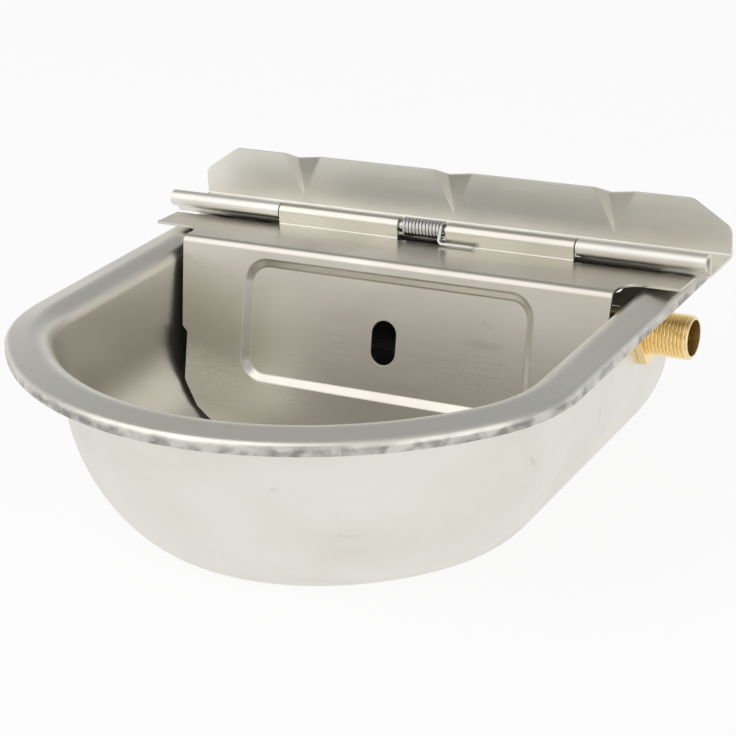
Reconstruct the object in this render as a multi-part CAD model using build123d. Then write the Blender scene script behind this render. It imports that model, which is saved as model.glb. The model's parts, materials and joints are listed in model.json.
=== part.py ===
from build123d import *
import math
import os

# Wall-hung livestock drinking bowl: pressed stainless bowl, wall plate, sprung cover with its
# float guard, and a brass float valve. Millimetres.
# Origin: on the wall, midway between the two fixing holes. +X is the water inlet's side,
# -Y points out from the wall and +Z is up.

# ---- bowl ----
bowl_width = 275.5        # over the rolled lip
bowl_reach = 270.0        # wall to the front of the lip
bowl_depth = 91.4         # crest of the lip to the underside of the floor
bowl_sheet = 1.2
rim_height = 20.4         # crest of the lip above the fixing holes
nose_over = 17.25         # how much the front's plan radius exceeds half the width, over the lip
cheek_radius = 74.0       # plan radius between the front and each straight side, over the lip
back_corner = 14.0        # plan radius of the corners at the wall
front_draft = 6.4         # how far the front wall leans in before the floor radius
side_round = 40.0         # width of the curve from a side into the floor
front_round = 13.6        # the same at the front
back_round = 36.0         # the same at the wall
round_height = 47.0       # height of that curve, all round
floor_nose_over = 5.75    # how much the front's plan radius exceeds half the floor's width
floor_cheek = 58.0        # the same between the front and each side
floor_steps = 4           # sections that the floor curve is drawn through

lip_width = 21.5
lip_shoulder = 9.0        # outside radius from the wall into the lip
lip_roll = 3.2            # outside radius of the lip's turned-down edge
lip_slope = 10.0          # degrees by which the lip falls outwards
lip_skirt = 2.2           # straight edge below the roll
lip_chord_count = 3       # straight pieces that stand for each bend of the lip

# ---- hinge ----
plate_sheet = 1.5         # sheet of the wall plate and the cover
pin_radius = 2.5
pin_play = 0.1            # radial play of the pin in the knuckles
hinge_reach = 33.4        # wall to the hinge axis
hinge_rise = 8.4          # hinge axis above the crest of the lip
hinge_length = 290.0
cover_knuckle_in = 13.1   # inner end of each cover knuckle, from the middle
knuckle_split = 80.4      # where the cover's knuckles meet the wall plate's
knuckle_gap = 0.5
knuckle_roll = 250.0      # degrees of sheet rolled round the pin
knuckle_bend = 1.6        # mid-line radius where the sheet turns up to the pin
sheet_setback = 5.2       # hinge axis to the trimmed edge of a sheet without a knuckle
pin_recess = 2.0          # pin end inside the tube end

# ---- wall plate ----
plate_rise = 27.5         # top edge above the crest of the lip
plate_chamfer_across = 19.5
plate_chamfer_down = 13.0
plate_corner = 6.0        # radius on the chamfer's ends
foot_bend = 1.6
dent_pitch = 86.0         # distance between the pressed V marks
dent_width = 21.0
dent_height = 21.0
dent_depth = 2.4

# ---- cover ----
cover_rise = 1.3          # underside of the cover above the crest of the lip, at the hinge
cover_tilt = 2.5          # degrees by which the cover rises towards the front
cover_length = 32.0       # straight run from the front bend to the bend below the knuckle
front_bend = 3.0
guard_lean = 13.75        # degrees by which the guard's foot stands forward
guard_length = 91.5       # along the guard, below the front bend
guard_half = 114.2        # half width of the guard at its top
guard_waist = 112.2       # half width where the guard has narrowed to the step in its edges
guard_step_at = 42.0      # distance down the guard to that step
guard_step = 3.0
guard_cheek_at = 69.0     # where its edges start to follow the floor
guard_shoulder = (101.2, 81.5)
guard_toe = (93.2, 87.0)
guard_foot_half = 84.0
ear_front = 57.4          # wall to the front edge of the cover's ears
ear_half = 140.5          # half width of the cover over its ears
ear_notch_radius = 9.0
panel_half = 77.0         # recessed panel in the guard
panel_top = 3.5
panel_height = 60.5
panel_corner = 12.0
panel_depth = 2.0
panel_draft = 60.0        # degrees by which the recess's walls spread
slot_width = 13.0
slot_height = 21.5
slot_centre = 36.1        # down from the front bend

# ---- cover spring ----
spring_wire = 1.75
spring_turns = 11
spring_pitch = 1.84
spring_play = 0.35        # coil's inside over the pin
spring_leave = 30.0       # degrees short of level at which a leg leaves the coil
spring_leg = 19.0         # leg along the sheet
spring_leg_bend = 1.6
spring_chord_count = 10   # straight pieces that stand for each turn of the coil
leg_play = 0.4            # leg above the sheet it presses on

# ---- water inlet and float valve ----
inlet_back = 41.3         # wall to the inlet axis
inlet_drop = 25.9         # inlet axis below the crest of the lip
thread_radius = 20.955 / 2
nipple_reach = 24.9       # inside of the bowl's wall to the end of the nipple
nipple_chamfer = 1.0
shank_radius = 9.6        # plain core of the thread, inside the nut, the wall and the gasket
inlet_bore = 8.3
thread_play = 0.03
wall_hole_play = 0.3
hex_flats = 27.0
nut_height = 4.0
flange_height = 4.0
gasket_height = 2.0
gasket_radius = 14.5
barrel_radius = 10.0
barrel_end = 88.0         # mid-plane to the open end of the barrel
web_back = 11.0           # open end of the barrel to the web that holds the nozzle
web_height = 5.0
nozzle_hole = 5.5
chamber_radius = 7.5
slide_play = 0.08
orifice = 1.6
seat_radius = 3.2
seat_rise = 3.0           # nozzle's seat proud of the web
nozzle_flange = 1.5
o_ring_wire = 1.4
o_ring_at = 1.5           # shoulder of the nozzle to its groove
plunger_travel = 1.2
stem_radius = 4.0
stem_reach = 15.7         # plunger's tip beyond the open end of the barrel
guide_length = 5.0
seal_radius = 5.5
seal_inset = 1.8
seal_height = 2.75
port_width = 2.2
port_drop = 5.0

# ---- float lever ----
lever_reach = 6.0         # lever pin beyond the open end of the barrel
lever_drop = 11.5         # lever pin below the inlet axis
lever_pin_radius = 2.0
lever_play = 0.06
eye_radius = 3.6
lever_width = 12.0
lever_sheet = 2.0
lug_gap = 0.4
lug_width = 3.0
lug_radius = 4.6
finger_gap = 0.3
arm_end = -42.0
arm_slot = 26.0
cotter_wire = 1.2
cotter_leg = 4.5
cotter_top = 3.0
cotter_ring = 1.8
cotter_play = 0.05
pin_head = 1.6
pin_tail = 3.4

# ---- float ----
float_at = -20.0          # mid-plane to the float's stud
float_length = 92.0
float_width = 48.0
float_height = 36.0
float_corner = 9.0
float_edge = 3.0
float_wall = 1.6
float_seam = 3.0          # how far the weld rim stands out
float_rim = 1.5
boss_radius = 7.0
boss_rise = 2.0
stud_radius = 2.0
stud_depth = 12.0
stud_rise = 9.0
washer_radius = 5.5
washer_height = 0.8
wing_span = 22.0
wing_hub = 4.2
wing_height = 5.0
wing_sheet = 1.6

# ---- wall fixing ----
fixing_pitch = 172.0
fixing_radius = 4.5

# ---- places that follow from the sizes above ----
inner_half = bowl_width / 2 - lip_width
nose_radius = bowl_width / 2 + nose_over
floor_nose = inner_half - side_round + floor_nose_over
floor_height = rim_height - bowl_depth + bowl_sheet
turn_height = floor_height + round_height
shoulder_height = rim_height - lip_shoulder
hinge_height = rim_height + hinge_rise
tube_inner = pin_radius + pin_play
tube_mid = tube_inner + plate_sheet / 2
plate_top = rim_height + plate_rise
inlet_height = rim_height - inlet_drop
outer_wall = inner_half + bowl_sheet
flange_face = inner_half - gasket_height
nipple_end = inner_half + nipple_reach
web_at = barrel_end + web_back
seat_at = web_at - seat_rise
stem_end = barrel_end - stem_reach
lever_at = barrel_end - lever_reach
cover_level = rim_height + cover_rise + plate_sheet / 2
lever_height = inlet_height - lever_drop
arm_top = lever_height + lever_sheet / 2 - 1.0
arm_low = arm_top - lever_sheet
float_top_height = arm_low - boss_rise
seal_face = seat_at - plunger_travel - 0.05
guide_front = seal_face - seal_height + seal_inset

hinge_line = Plane(origin=(0, -hinge_reach, hinge_height), x_dir=(0, 1, 0), z_dir=(1, 0, 0))
inlet_line = Plane(origin=(0, -inlet_back, inlet_height), x_dir=(0, 1, 0), z_dir=(1, 0, 0))


def bent_sheet(start, heading, folds, thickness, chords=0):
    """Section of a bent sheet. Each fold is a straight run, then a bend of that mid-line radius.

    With chords, each bend is that many straight pieces instead of an arc.
    """
    walls = []
    ends = []
    for shift in (thickness / 2, -thickness / 2):
        turn_now = heading
        aside = Vector(0, shift).rotate(Axis.Z, turn_now)
        point = Vector(*start) + aside
        ends.append([point])
        for run, radius, turn in folds:
            ahead = Vector(1, 0).rotate(Axis.Z, turn_now)
            if run > 0:
                walls.append(Line(point, point + ahead * run))
                point = point + ahead * run
            if turn != 0:
                arc = JernArc(point, ahead, radius - math.copysign(shift, turn * shift), turn)
                if chords:
                    walls.append(Polyline([arc @ (step / chords) for step in range(chords + 1)]))
                else:
                    walls.append(arc)
                point = arc @ 1
                turn_now += turn
        ends[-1].append(point)
    caps = [Line(ends[0][0], ends[1][0]), Line(ends[0][1], ends[1][1])]
    return make_face([edge for wall in walls + caps for edge in wall.edges()])


def bowl_plan(side_inset, front_inset, back_inset, shrink, grow):
    """Corner points and radii of the bowl's plan, measured in from the inside of its wall.

    shrink runs from 0 at the lip to 1 at the floor, where the front has its smallest radius.
    grow offsets the whole plan outwards, so that two plans that differ only in it are parallel.
    """
    half = inner_half - side_inset + grow
    front = lip_width + front_inset - bowl_reach - grow
    back = grow - back_inset
    rim_nose = nose_radius - lip_width
    nose = rim_nose + (floor_nose - rim_nose) * shrink + grow
    rim_cheek = cheek_radius - lip_width
    cheek = rim_cheek + (floor_cheek - rim_cheek) * shrink + grow
    corner = back_corner + grow
    nose_centre = front + nose
    cheek_x = half - cheek
    cheek_y = nose_centre - math.sqrt((nose - cheek) ** 2 - cheek_x ** 2)
    lean = math.atan2(cheek_y - nose_centre, cheek_x)
    joint = (cheek_x + cheek * math.cos(lean), cheek_y + cheek * math.sin(lean))
    middle = (cheek_x + cheek * math.cos(lean / 2), cheek_y + cheek * math.sin(lean / 2))
    return half, front, back, corner, cheek_y, joint, middle


def mirrored(point):
    return (-point[0], point[1])


def bowl_front(plan):
    """Edges of the plan from the right back corner round the front to the left one."""
    half, front, back, corner, cheek_y, joint, middle = plan
    return [
        Line((half, back - corner), (half, cheek_y)),
        ThreePointArc((half, cheek_y), middle, joint),
        ThreePointArc(joint, (0, front), mirrored(joint)),
        ThreePointArc(mirrored(joint), mirrored(middle), (-half, cheek_y)),
        Line((-half, cheek_y), (-half, back - corner)),
    ]


def bowl_section(height, plan):
    half, front, back, corner, cheek_y, joint, middle = plan
    bulge = corner * (1 - math.sqrt(0.5))
    left = ThreePointArc((-half, back - corner), (bulge - half, back - bulge), (corner - half, back))
    wall = Line((corner - half, back), (half - corner, back))
    right = ThreePointArc((half - corner, back), (half - bulge, back - bulge), (half, back - corner))
    outline = bowl_front(plan) + [left, wall, right]
    return Pos(0, 0, height) * make_face([edge for part in outline for edge in part.edges()])


def bowl_body(skin):
    """Solid inside the bowl's wall, or with skin added all round it: drafted wall, then floor curve."""
    straight = shoulder_height - turn_height
    sections = [bowl_section(shoulder_height, bowl_plan(0, 0, bowl_sheet, 0, skin))]
    for step in range(floor_steps + 1):
        angle = math.pi / 2 * step / floor_steps
        inward = 1 - math.cos(angle)
        down = round_height * math.sin(angle)
        plan = bowl_plan(
            side_round * inward,
            front_draft * (1 + down / straight) + front_round * inward,
            bowl_sheet + back_round * inward,
            inward,
            skin * math.cos(angle),
        )
        sections.append(bowl_section(turn_height - down - skin * math.sin(angle), plan))
    return loft(sections, ruled=True)


def lip_section(shoulder):
    """Section of the lip, from the inside of the wall outwards; flat where there is no shoulder."""
    slope = math.sin(math.radians(lip_slope))
    roll = lip_roll - bowl_sheet / 2
    turn_in = lip_shoulder - bowl_sheet / 2
    level = lip_width - bowl_sheet - turn_in * (1 + slope) - roll * (1 - slope)
    level = level / math.cos(math.radians(lip_slope))
    rolled = (level, roll, lip_slope - 90)
    if shoulder:
        folds = [(0, turn_in, -90 - lip_slope), rolled, (lip_skirt, 0, 0)]
        return bent_sheet((bowl_sheet / 2, 0), 90, folds, bowl_sheet, lip_chord_count)
    start = (bowl_sheet / 2, lip_shoulder - bowl_sheet / 2)
    folds = [(turn_in, turn_in, -lip_slope), rolled, (lip_skirt, 0, 0)]
    return bent_sheet(start, 0, folds, bowl_sheet, lip_chord_count)


def make_bowl():
    shell = bowl_body(bowl_sheet) - bowl_body(0)
    plan = bowl_plan(0, 0, bowl_sheet, 0, 0)
    corner_front = -bowl_sheet - back_corner
    route = Wire([edge for part in bowl_front(plan) for edge in part.edges()])
    route = Pos(0, 0, shoulder_height) * route
    start = Plane(origin=(inner_half, corner_front, shoulder_height), x_dir=(1, 0, 0), z_dir=(0, -1, 0))
    lip = sweep(start * lip_section(True), path=route)
    back = Plane(origin=(inner_half, 0, shoulder_height), x_dir=(1, 0, 0), z_dir=(0, -1, 0))
    ledge = extrude(back * lip_section(False), -corner_front)
    ledge += mirror(ledge, about=Plane.YZ)
    outside = bowl_section(shoulder_height, bowl_plan(0, 0, bowl_sheet, 0, bowl_sheet))
    inside = bowl_section(shoulder_height, plan)
    behind = Pos(0, corner_front / 2, rim_height) * Box(bowl_width, -corner_front, lip_shoulder * 4)
    collar = extrude(outside, lip_shoulder) - extrude(inside, lip_shoulder)
    corners = Pos(0, corner_front / 2, rim_height - bowl_sheet / 2)
    corners *= Box(2 * (inner_half + bowl_sheet), -corner_front, bowl_sheet)
    corners -= extrude(inside, lip_shoulder * 2)
    bowl = shell + lip + ledge + (collar & behind) + corners
    bore = Cylinder(thread_radius + wall_hole_play, lip_width)
    bowl -= inlet_line * Pos(0, 0, inner_half) * bore
    for side in (-1, 1):
        hole = Pos(side * fixing_pitch / 2, 0, 0) * Rot(90, 0, 0) * Cylinder(fixing_radius, lip_width)
        bowl -= hole
    return bowl


def across(section, inner, outer):
    """The section drawn square to X, run from inner to outer and again on the other side."""
    run = extrude(Plane.YZ * section, outer - inner)
    right = Pos(inner, 0, 0) * run
    return right + mirror(right, about=Plane.YZ)


def dent(position, top):
    """Wedge of a pressed V mark, widest at the sheet's top edge and fading out downwards."""
    mouth = make_face(Polyline((-dent_width / 2, 0), (dent_width / 2, 0), (0, -dent_depth), close=True))
    tip = Vertex(position, -plate_sheet, top - dent_height)
    return loft([Pos(position, -plate_sheet, top) * mouth, tip])


def make_wall_plate():
    level = rim_height + plate_sheet / 2
    upright = (plate_top - level - foot_bend, foot_bend, -90)
    knuckle_at = -hinge_reach + tube_mid
    shelf = -plate_sheet / 2 - foot_bend - knuckle_at - knuckle_bend
    start = (-plate_sheet / 2, plate_top)
    riser = hinge_height - level - knuckle_bend
    rolled = [upright, (shelf, knuckle_bend, -90), (riser, tube_mid, knuckle_roll)]
    trimmed = [upright, (hinge_reach - sheet_setback - plate_sheet / 2 - foot_bend, 0, 0)]
    half = hinge_length / 2
    plate = across(bent_sheet(start, -90, rolled, plate_sheet), knuckle_split + knuckle_gap / 2, half)
    plate += across(bent_sheet(start, -90, trimmed, plate_sheet), 0, half)
    marks = [dent(step * dent_pitch, plate_top) for step in (-1, 0, 1)]
    for mark in marks:
        plate = plate + mark - Pos(0, plate_sheet, 0) * mark
    low = plate_top - plate_chamfer_down
    near = half - plate_chamfer_across
    corner = Polyline(
        (near, plate_top), (half, low), (half + 1, low), (half + 1, plate_top + 1), (near, plate_top + 1),
        close=True,
    )
    cutter = extrude(Plane.XZ * make_face(corner), hinge_reach, both=True)
    plate -= cutter + mirror(cutter, about=Plane.YZ)
    ends = plate.edges().filter_by(Axis.Y).filter_by(lambda edge: edge.length < plate_sheet * 1.1)
    ends = ends.filter_by(lambda edge: edge.center().Z > low - 1 and abs(edge.center().X) > near - 1)
    return fillet(ends, plate_corner)


def guard_plane():
    """Plane on the front of the guard, X across and Y up, with its origin at the front bend."""
    lean = math.radians(guard_lean)
    tilt = math.radians(cover_tilt)
    back = -hinge_reach - tube_mid - knuckle_bend * (1 + math.sin(tilt))
    front = Vector(0, back - cover_length * math.cos(tilt), cover_level + cover_length * math.sin(tilt))
    centre = front - Vector(0, math.sin(tilt), math.cos(tilt)) * front_bend
    facing = Vector(0, -math.cos(lean), math.sin(lean))
    top = centre + facing * (front_bend + plate_sheet / 2)
    return Plane(origin=top, x_dir=(1, 0, 0), z_dir=facing)


def make_cover():
    face = guard_plane()
    turn = 90 - guard_lean + cover_tilt
    foot = face.origin - face.z_dir * plate_sheet / 2 - face.y_dir * guard_length
    folded = [(guard_length, front_bend, -turn)]
    riser = hinge_height - cover_level - knuckle_bend * math.cos(math.radians(cover_tilt))
    rolled = folded + [(cover_length, knuckle_bend, 90 + cover_tilt), (riser, tube_mid, -knuckle_roll)]
    trim = knuckle_bend + tube_mid - sheet_setback
    plain = folded + [(cover_length + trim, 0, 0)]
    start = (foot.Y, foot.Z)
    heading = 90 - guard_lean
    section = bent_sheet(start, heading, rolled, plate_sheet)
    cover = across(section, cover_knuckle_in, knuckle_split - knuckle_gap / 2)
    cover += across(bent_sheet(start, heading, plain, plate_sheet), 0, ear_half)

    beyond = ear_half + 1
    ear = Polyline(
        (guard_half, -bowl_reach), (guard_half, -ear_front), (beyond, -ear_front), (beyond, -bowl_reach),
        close=True,
    )
    notch = make_face(ear)
    inner_corner = notch.vertices().sort_by(lambda v: abs(v.X - guard_half) + abs(v.Y + ear_front))[0]
    notch = fillet(inner_corner, ear_notch_radius)
    notch = extrude(notch, bowl_depth * 1.5, both=True)
    cover -= notch + mirror(notch, about=Plane.YZ)

    narrow = guard_waist - guard_step
    edge = Polyline(
        (guard_half, 0), (guard_waist, -guard_step_at), (narrow, -guard_step_at - guard_step),
        (narrow, -guard_cheek_at), (guard_shoulder[0], -guard_shoulder[1]),
        (guard_toe[0], -guard_toe[1]), (guard_foot_half, -guard_length),
        (guard_foot_half, -guard_length - 1), (guard_half + 1, -guard_length - 1), (guard_half + 1, 0),
        close=True,
    )
    edge = extrude(face * make_face(edge), plate_sheet * 2, both=True)
    cover -= edge + mirror(edge, about=Plane.YZ)

    outline = RectangleRounded(2 * panel_half, panel_height, panel_corner)
    outline = Pos(0, -panel_top - panel_height / 2) * outline
    press = extrude(face * outline, -panel_depth, taper=panel_draft)
    cover = cover + Location(-face.z_dir * plate_sheet) * press - press
    slot = Pos(0, -slot_centre) * SlotOverall(slot_height, slot_width, rotation=90)
    return cover - extrude(face * slot, plate_sheet * 4, both=True)


def make_hinge_pin():
    return hinge_line * Cylinder(pin_radius, hinge_length - 2 * pin_recess)


def spring_leg_points(leave, ahead, end, sheet_top):
    """Points of a leg that runs straight on from the coil, drops to the sheet and turns along it."""
    down = hinge_height - sheet_top - spring_wire / 2 - leg_play
    foot = leave - ahead * (leave.Y + down) / ahead.Y
    along = Vector(0, 0, end)
    turned = [foot - ahead * spring_leg_bend, foot + along * spring_leg_bend]
    bend = turned[0] + (foot - turned[0]) * 0.6 + (turned[1] - foot) * 0.4
    return [turned[0], bend, turned[1], foot + along * spring_leg]


def make_spring():
    """Coil round the pin, with one leg on the cover in front and one on the shelf behind."""
    radius = pin_radius + spring_play + spring_wire / 2
    turns = spring_turns + (180 - 2 * spring_leave) / 360
    rise = spring_pitch * turns
    route = Pos(0, 0, -rise / 2) * Rot(0, 0, spring_leave) * Helix(spring_pitch, rise, radius)
    steps = round(turns * spring_chord_count)
    coil = [route @ (step / steps) for step in range(steps + 1)]
    behind = spring_leg_points(coil[0], -(route % 0), -1, rim_height + plate_sheet)
    front = spring_leg_points(coil[-1], route % 1, 1, cover_level + plate_sheet / 2)
    wire = Polyline(behind[::-1] + coil + front)
    section = Plane(origin=wire @ 0, z_dir=wire % 0) * RegularPolygon(spring_wire / 2, 6)
    return hinge_line * sweep(section, path=wire, transition=Transition.RIGHT)


def rod(radius, start, end):
    """Round bar on the inlet axis, from one distance off the mid-plane to another."""
    return inlet_line * Pos(0, 0, (start + end) / 2) * Cylinder(radius, end - start)


def hex_bar(flats, start, end):
    shape = RegularPolygon(flats / 2, 6, major_radius=False)
    return inlet_line * Pos(0, 0, start) * extrude(shape, end - start)


def make_valve_body():
    thread_start = outer_wall + nut_height
    thread = rod(thread_radius, thread_start, nipple_end)
    body = chamfer(thread.edges().sort_by(Axis.X)[-1], nipple_chamfer)
    body += rod(shank_radius, flange_face, thread_start)
    body += hex_bar(hex_flats, flange_face - flange_height, flange_face)
    body += rod(barrel_radius, barrel_end, flange_face)
    half = lever_width / 2 + lug_gap
    for side in (-1, 1):
        middle = side * (half + lug_width / 2)
        lug = Pos(lever_at, middle - inlet_back, lever_height) * Rot(90, 0, 0)
        lug *= Cylinder(lug_radius, lug_width)
        length = barrel_end + lug_radius - lever_at
        arm = Pos(lever_at + length / 2, middle - inlet_back, lever_height + lug_radius / 2)
        body += lug + arm * Box(length, lug_width, lug_radius * 3)
    body -= rod(inlet_bore, web_at + web_height, nipple_end)
    body -= rod(nozzle_hole, barrel_end, nipple_end)
    body -= rod(chamber_radius, barrel_end - lug_radius * 2, web_at)
    pin_bore = Cylinder(lever_pin_radius + lever_play, lever_width * 3)
    body -= Pos(lever_at, -inlet_back, lever_height) * Rot(90, 0, 0) * pin_bore
    port = Pos(seat_at, -inlet_back, inlet_height - barrel_radius)
    return body - port * Box(port_width, port_drop * 2, barrel_radius)


def make_lock_nut():
    nut = hex_bar(hex_flats, outer_wall, outer_wall + nut_height)
    return nut - rod(shank_radius + thread_play, outer_wall, outer_wall + nut_height)


def make_gasket():
    ring = rod(gasket_radius, flange_face, inner_half)
    return ring - rod(shank_radius + thread_play, flange_face, inner_half)


def make_nozzle():
    nozzle = rod(nozzle_hole - thread_play, web_at, web_at + web_height + 1)
    nozzle += rod(chamber_radius - thread_play, web_at - nozzle_flange, web_at)
    nozzle += rod(seat_radius, seat_at, web_at)
    groove = rod(nozzle_hole, web_at + o_ring_at, web_at + o_ring_at + o_ring_wire)
    groove -= rod(nozzle_hole - o_ring_wire, web_at + o_ring_at, web_at + o_ring_at + o_ring_wire)
    return nozzle - groove - rod(orifice, seat_at, web_at + web_height + 1)


def make_o_ring():
    middle = web_at + o_ring_at + o_ring_wire / 2
    section = Pos(nozzle_hole - o_ring_wire / 2, 0) * RegularPolygon(o_ring_wire / 2 - thread_play, 6)
    return inlet_line * Pos(0, 0, middle) * revolve(Plane.XZ * section, Axis.Z)


def make_plunger():
    guide = rod(chamber_radius - slide_play, guide_front - guide_length, guide_front)
    stem = rod(stem_radius, stem_end, guide_front - guide_length)
    return guide + stem - rod(seal_radius, guide_front - seal_inset, guide_front)


def make_plunger_seal():
    start = guide_front - seal_inset
    return rod(seal_radius - thread_play, start, start + seal_height)


def make_lever():
    along = Pos(lever_at, -inlet_back, lever_height) * Rot(90, 0, 0)
    arm_length = lever_at - arm_end
    arm = Pos(lever_at - arm_length / 2, -inlet_back, (arm_top + arm_low) / 2)
    lever = along * Cylinder(eye_radius, lever_width)
    lever += arm * Box(arm_length, lever_width, lever_sheet)
    finger_face = stem_end - finger_gap
    top = inlet_height + stem_radius
    height = top - arm_low
    finger = Pos(finger_face - lever_sheet / 2 - 1, -inlet_back, arm_low + height / 2)
    lever += finger * Box(lever_sheet, lever_width * 0.7, height)
    nose = Pos(finger_face - 1, -inlet_back, inlet_height) * Rot(90, 0, 0) * Cylinder(1, lever_width * 0.7)
    lever += nose
    lever -= along * Cylinder(lever_pin_radius + lever_play, lever_width * 2)
    slot = extrude(SlotOverall(arm_slot, 2 * stud_radius + 0.5), lever_sheet * 4, both=True)
    return lever - Pos(float_at, -inlet_back, arm_top) * slot


def make_lever_pin():
    outer = lever_width / 2 + lug_gap + lug_width
    along = Pos(lever_at, -inlet_back, lever_height) * Rot(-90, 0, 0)
    pin = along * Pos(0, 0, pin_tail / 2) * Cylinder(lever_pin_radius, 2 * outer + pin_tail)
    pin += along * Pos(0, 0, -outer - pin_head / 2) * Cylinder(lever_pin_radius * 1.7, pin_head)
    return pin - cotter_hole()


def cotter_hole():
    outer = lever_width / 2 + lug_gap + lug_width
    place = Pos(lever_at, outer + pin_tail / 2 - inlet_back, lever_height)
    return place * Cylinder(cotter_wire / 2 + cotter_play, lever_width)


def make_cotter():
    """Split pin: a leg through the hole and an open ring on top, in one bent wire."""
    outer = lever_width / 2 + lug_gap + lug_width
    place = Pos(lever_at, outer + pin_tail / 2 - inlet_back, lever_height)
    ring_centre = Vector(0, 0, cotter_top + cotter_ring)
    ring = [ring_centre + Vector(0, 0, -cotter_ring).rotate(Axis.Y, -turn) for turn in range(0, 331, 30)]
    wire = Polyline([Vector(0, 0, -cotter_leg)] + ring)
    section = Plane(origin=wire @ 0, z_dir=wire % 0) * RegularPolygon(cotter_wire / 2, 6)
    return place * sweep(section, path=wire, transition=Transition.RIGHT)


def float_block(grow, low, high):
    """Rounded block of the float between two heights, grown sideways by grow."""
    shape = RectangleRounded(float_length + 2 * grow, float_width + 2 * grow, float_corner + grow)
    block = extrude(shape, high - low)
    return Pos(float_at, -inlet_back, low) * block


def make_float_half(upper):
    middle = float_top_height - float_height / 2
    if upper:
        low, high = middle, float_top_height
        crown = Axis.Z
        rim = float_block(float_seam, middle, middle + float_rim)
    else:
        low, high = middle - float_height / 2, middle
        crown = -Axis.Z
        rim = float_block(float_seam, middle - float_rim, middle)
    block = float_block(0, low, high)
    block = chamfer(block.faces().sort_by(crown)[-1].edges(), float_edge)
    inner_low = low if upper else low + float_wall
    inner_high = high - float_wall if upper else high
    cavity = float_block(-float_wall, inner_low, inner_high)
    cavity = chamfer(cavity.faces().sort_by(crown)[-1].edges(), float_edge)
    rim -= cavity
    half = block - cavity + rim
    if upper:
        stud = Pos(float_at, -inlet_back, 0)
        boss_height = boss_rise + stud_depth
        boss = stud * Pos(0, 0, arm_low - boss_height / 2) * Cylinder(boss_radius, boss_height)
        hole = stud * Pos(0, 0, arm_low - stud_depth / 2) * Cylinder(stud_radius + thread_play, stud_depth)
        half = half + boss - hole
    return half


def make_float_stud():
    length = stud_depth + lever_sheet + stud_rise
    return Pos(float_at, -inlet_back, arm_low - stud_depth + length / 2) * Cylinder(stud_radius, length)


def make_stud_washer():
    place = Pos(float_at, -inlet_back, arm_top + washer_height / 2)
    ring = Cylinder(washer_radius, washer_height) - Cylinder(stud_radius + thread_play, washer_height)
    return place * ring


def make_wing_nut():
    place = Pos(float_at, -inlet_back, arm_top + washer_height)
    hub = Pos(0, 0, wing_height / 2) * Cylinder(wing_hub, wing_height)
    wings = Pos(0, 0, wing_height) * Box(wing_span, wing_sheet, wing_height)
    hole = Pos(0, 0, wing_height / 2) * Cylinder(stud_radius + thread_play, wing_height * 3)
    return place * (hub + wings - hole)


def write_parts():
    os.makedirs("parts", exist_ok=True)
    pieces = {
        "bowl": make_bowl(),
        "wall_plate": make_wall_plate(),
        "cover": make_cover(),
        "hinge_pin": make_hinge_pin(),
        "cover_spring": make_spring(),
        "valve_body": make_valve_body(),
        "lock_nut": make_lock_nut(),
        "inlet_gasket": make_gasket(),
        "nozzle": make_nozzle(),
        "nozzle_o_ring": make_o_ring(),
        "plunger": make_plunger(),
        "plunger_seal": make_plunger_seal(),
        "float_lever": make_lever(),
        "lever_pin": make_lever_pin(),
        "lever_cotter": make_cotter(),
        "float_top": make_float_half(True),
        "float_bottom": make_float_half(False),
        "float_stud": make_float_stud(),
        "stud_washer": make_stud_washer(),
        "wing_nut": make_wing_nut(),
    }
    for name, piece in pieces.items():
        export_step(piece, f"parts/{name}.step")


write_parts()
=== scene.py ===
# %% [markdown]
# # A wall-hung drinking bowl for livestock
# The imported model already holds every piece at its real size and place, in metres: +X is the side
# of the water inlet, -Y points out from the wall and +Z is up, with the origin on the wall.
# This lesson gives the pieces their finishes and rebuilds the few whose real surface is finer than
# the plain solid: the cover, the wall plate, the pressed bowl, the pipe thread and the spring. It
# starts by loading the model.

# %% Load the model
import json
import math

import bmesh
import bpy
import numpy as np
from mathutils import Matrix, Vector


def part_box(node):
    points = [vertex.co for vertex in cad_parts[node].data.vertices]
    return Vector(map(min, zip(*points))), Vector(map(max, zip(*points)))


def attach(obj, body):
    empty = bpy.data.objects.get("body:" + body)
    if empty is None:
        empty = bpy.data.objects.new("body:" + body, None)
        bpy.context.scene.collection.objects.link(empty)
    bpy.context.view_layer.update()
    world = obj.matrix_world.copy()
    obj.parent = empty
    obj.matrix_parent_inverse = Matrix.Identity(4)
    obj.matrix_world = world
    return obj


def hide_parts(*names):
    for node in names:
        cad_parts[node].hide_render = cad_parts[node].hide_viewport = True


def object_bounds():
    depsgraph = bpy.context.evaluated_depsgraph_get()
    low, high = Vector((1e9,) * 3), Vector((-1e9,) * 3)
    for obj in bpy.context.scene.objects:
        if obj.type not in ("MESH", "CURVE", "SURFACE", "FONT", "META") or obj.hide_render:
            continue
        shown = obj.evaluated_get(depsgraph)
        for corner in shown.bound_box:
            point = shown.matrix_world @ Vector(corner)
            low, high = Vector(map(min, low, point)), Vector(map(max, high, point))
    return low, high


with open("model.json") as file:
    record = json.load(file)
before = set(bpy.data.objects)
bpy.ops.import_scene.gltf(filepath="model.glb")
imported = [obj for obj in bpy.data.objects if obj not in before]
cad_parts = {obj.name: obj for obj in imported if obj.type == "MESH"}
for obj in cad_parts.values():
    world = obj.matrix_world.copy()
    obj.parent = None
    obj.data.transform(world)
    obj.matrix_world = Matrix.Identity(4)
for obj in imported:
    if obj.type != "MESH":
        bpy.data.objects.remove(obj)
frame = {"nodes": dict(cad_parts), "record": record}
nodes = frame["nodes"]
cad_low, cad_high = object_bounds()
print("pieces:", len(nodes), "box:", [round(v, 4) for v in cad_high - cad_low])

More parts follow.
